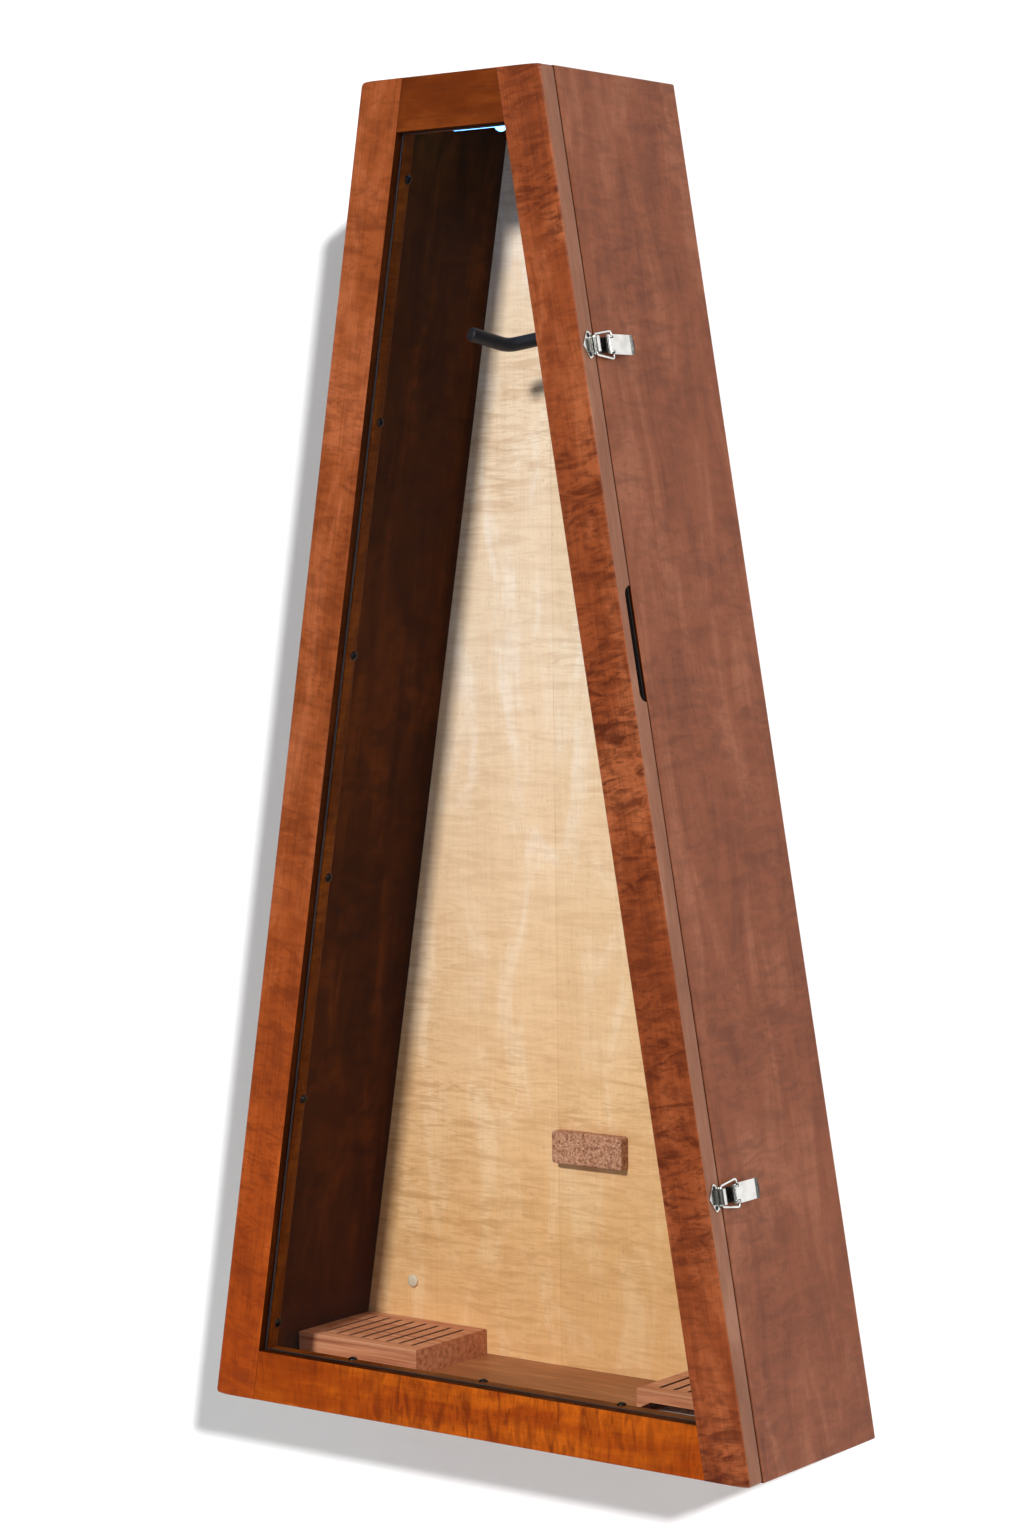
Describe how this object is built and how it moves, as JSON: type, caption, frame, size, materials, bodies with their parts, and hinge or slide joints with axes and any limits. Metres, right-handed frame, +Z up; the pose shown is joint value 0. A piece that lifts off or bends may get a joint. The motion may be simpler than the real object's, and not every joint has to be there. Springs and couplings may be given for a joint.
{
  "type": "wall guitar hanger case",
  "caption": "Tapered wall-hung guitar case with a glazed side-hinged door, draw latches, sleeved yoke hanger, light bar and cedar humidity boxes.",
  "frame": {"origin": "on the wall, at the middle of the wall rail's back face", "axes": "+Z up, +Y into the wall, front of the case towards -Y, hinge side at -X, latch side at +X"},
  "size_m": [0.6377, 0.2196, 1.27],
  "materials": {
    "figured_wood": "semi-gloss lacquer over figured, reddish-brown stained maple",
    "case_wood": "satin lacquer, reddish brown",
    "inner_wood": "satin lacquer, mid brown",
    "maple_veneer": "satin lacquer, pale figured maple",
    "cedar": "bare sanded cedar",
    "nickel": "polished nickel plate",
    "brushed_steel": "brushed",
    "rail_aluminium": "satin",
    "black_metal": "black powder coat",
    "black_rubber": "matt",
    "seal_foam": "matt foam",
    "clear_pane": "clear acrylic sheet",
    "cork": "bare granulated cork",
    "cream_plastic": "matt",
    "pouch_film": "satin pouch",
    "light_lens": "glowing diffuser"
  },
  "bodies": {
    "root": {"side_panel_left": "case_wood", "side_panel_right": "case_wood", "top_panel": "case_wood", "bottom_panel": "inner_wood", "back_panel": "maple_veneer", "wall_rail": "rail_aluminium", "case_rail": "rail_aluminium", "bumper_left": "black_rubber", "bumper_right": "black_rubber", "seal_right": "seal_foam", "seal_left": "seal_foam", "seal_bottom": "seal_foam", "seal_top": "seal_foam", "hinge_leaf_case": "nickel", "hinge_pin": "nickel", "latch_base_upper": "nickel", "latch_pin_upper": "nickel", "latch_base_lower": "nickel", "latch_pin_lower": "nickel", "yoke_stem": "black_metal", "light_housing": "rail_aluminium", "light_lens": "light_lens", "light_sensor": "light_lens", "cork_pad": "cork", "cover_button_left": "cream_plastic", "cover_button_right": "cream_plastic", "floor_plate": "brushed_steel"},
    "door": {"stile_left": "figured_wood", "stile_right": "figured_wood", "rail_top": "figured_wood", "rail_bottom": "figured_wood", "pane": "clear_pane", "stop_left": "case_wood", "stop_right": "case_wood", "stop_top": "case_wood", "stop_bottom": "case_wood", "hinge_leaf_door": "nickel", "strike_upper": "nickel", "strike_lower": "nickel"},
    "yoke": {"yoke_rod": "black_metal", "sleeve_left": "black_rubber", "sleeve_right": "black_rubber"},
    "lever_upper": {"latch_lever_upper": "nickel"},
    "bail_upper": {"latch_bail_upper": "nickel"},
    "lever_lower": {"latch_lever_lower": "nickel"},
    "bail_lower": {"latch_bail_lower": "nickel"},
    "humidity_left": {"humidity_box_left": "cedar", "humidity_pack_left": "pouch_film"},
    "humidity_right": {"humidity_box_right": "cedar", "humidity_pack_right": "pouch_film"}
  },
  "joints": [
    {"name": "door_hinge", "type": "hinge", "parent": "root", "child": "door", "pos_m": [-0.31956, -0.19948, -1.09957], "axis": [-0.1654, 0, -0.9862], "range_deg": [0, 165]},
    {"name": "yoke_swivel", "type": "hinge", "parent": "root", "child": "yoke", "pos_m": [0, -0.064, -0.0635], "axis": [0, 1, 0], "range_deg": [-25, 25]},
    {"name": "lever_upper_hinge", "type": "hinge", "parent": "root", "child": "lever_upper", "pos_m": [0.15202, -0.18455, -0.08309], "axis": [0.1654, 0, -0.9862], "range_deg": [0, 120]},
    {"name": "bail_upper_hinge", "type": "hinge", "parent": "lever_upper", "child": "bail_upper", "pos_m": [0.15094, -0.17845, -0.08327], "axis": [0.1654, 0, -0.9862], "range_deg": [-104, 0]},
    {"name": "lever_lower_hinge", "type": "hinge", "parent": "root", "child": "lever_lower", "pos_m": [0.27974, -0.18455, -0.84459], "axis": [0.1654, 0, -0.9862], "range_deg": [0, 120]},
    {"name": "bail_lower_hinge", "type": "hinge", "parent": "lever_lower", "child": "bail_lower", "pos_m": [0.27866, -0.17845, -0.84477], "axis": [0.1654, 0, -0.9862], "range_deg": [-104, 0]},
    {"name": "humidity_left_slide", "type": "slide", "parent": "root", "child": "humidity_left", "axis": [0, -1, 0], "range_m": [0, 0.055]},
    {"name": "humidity_right_slide", "type": "slide", "parent": "root", "child": "humidity_right", "axis": [0, -1, 0], "range_m": [0, 0.055]}
  ],
  "couplings": [
    {"joint": "bail_upper_hinge", "follows": "lever_upper_hinge", "ratio": -0.86},
    {"joint": "bail_lower_hinge", "follows": "lever_lower_hinge", "ratio": -0.86}
  ]
}
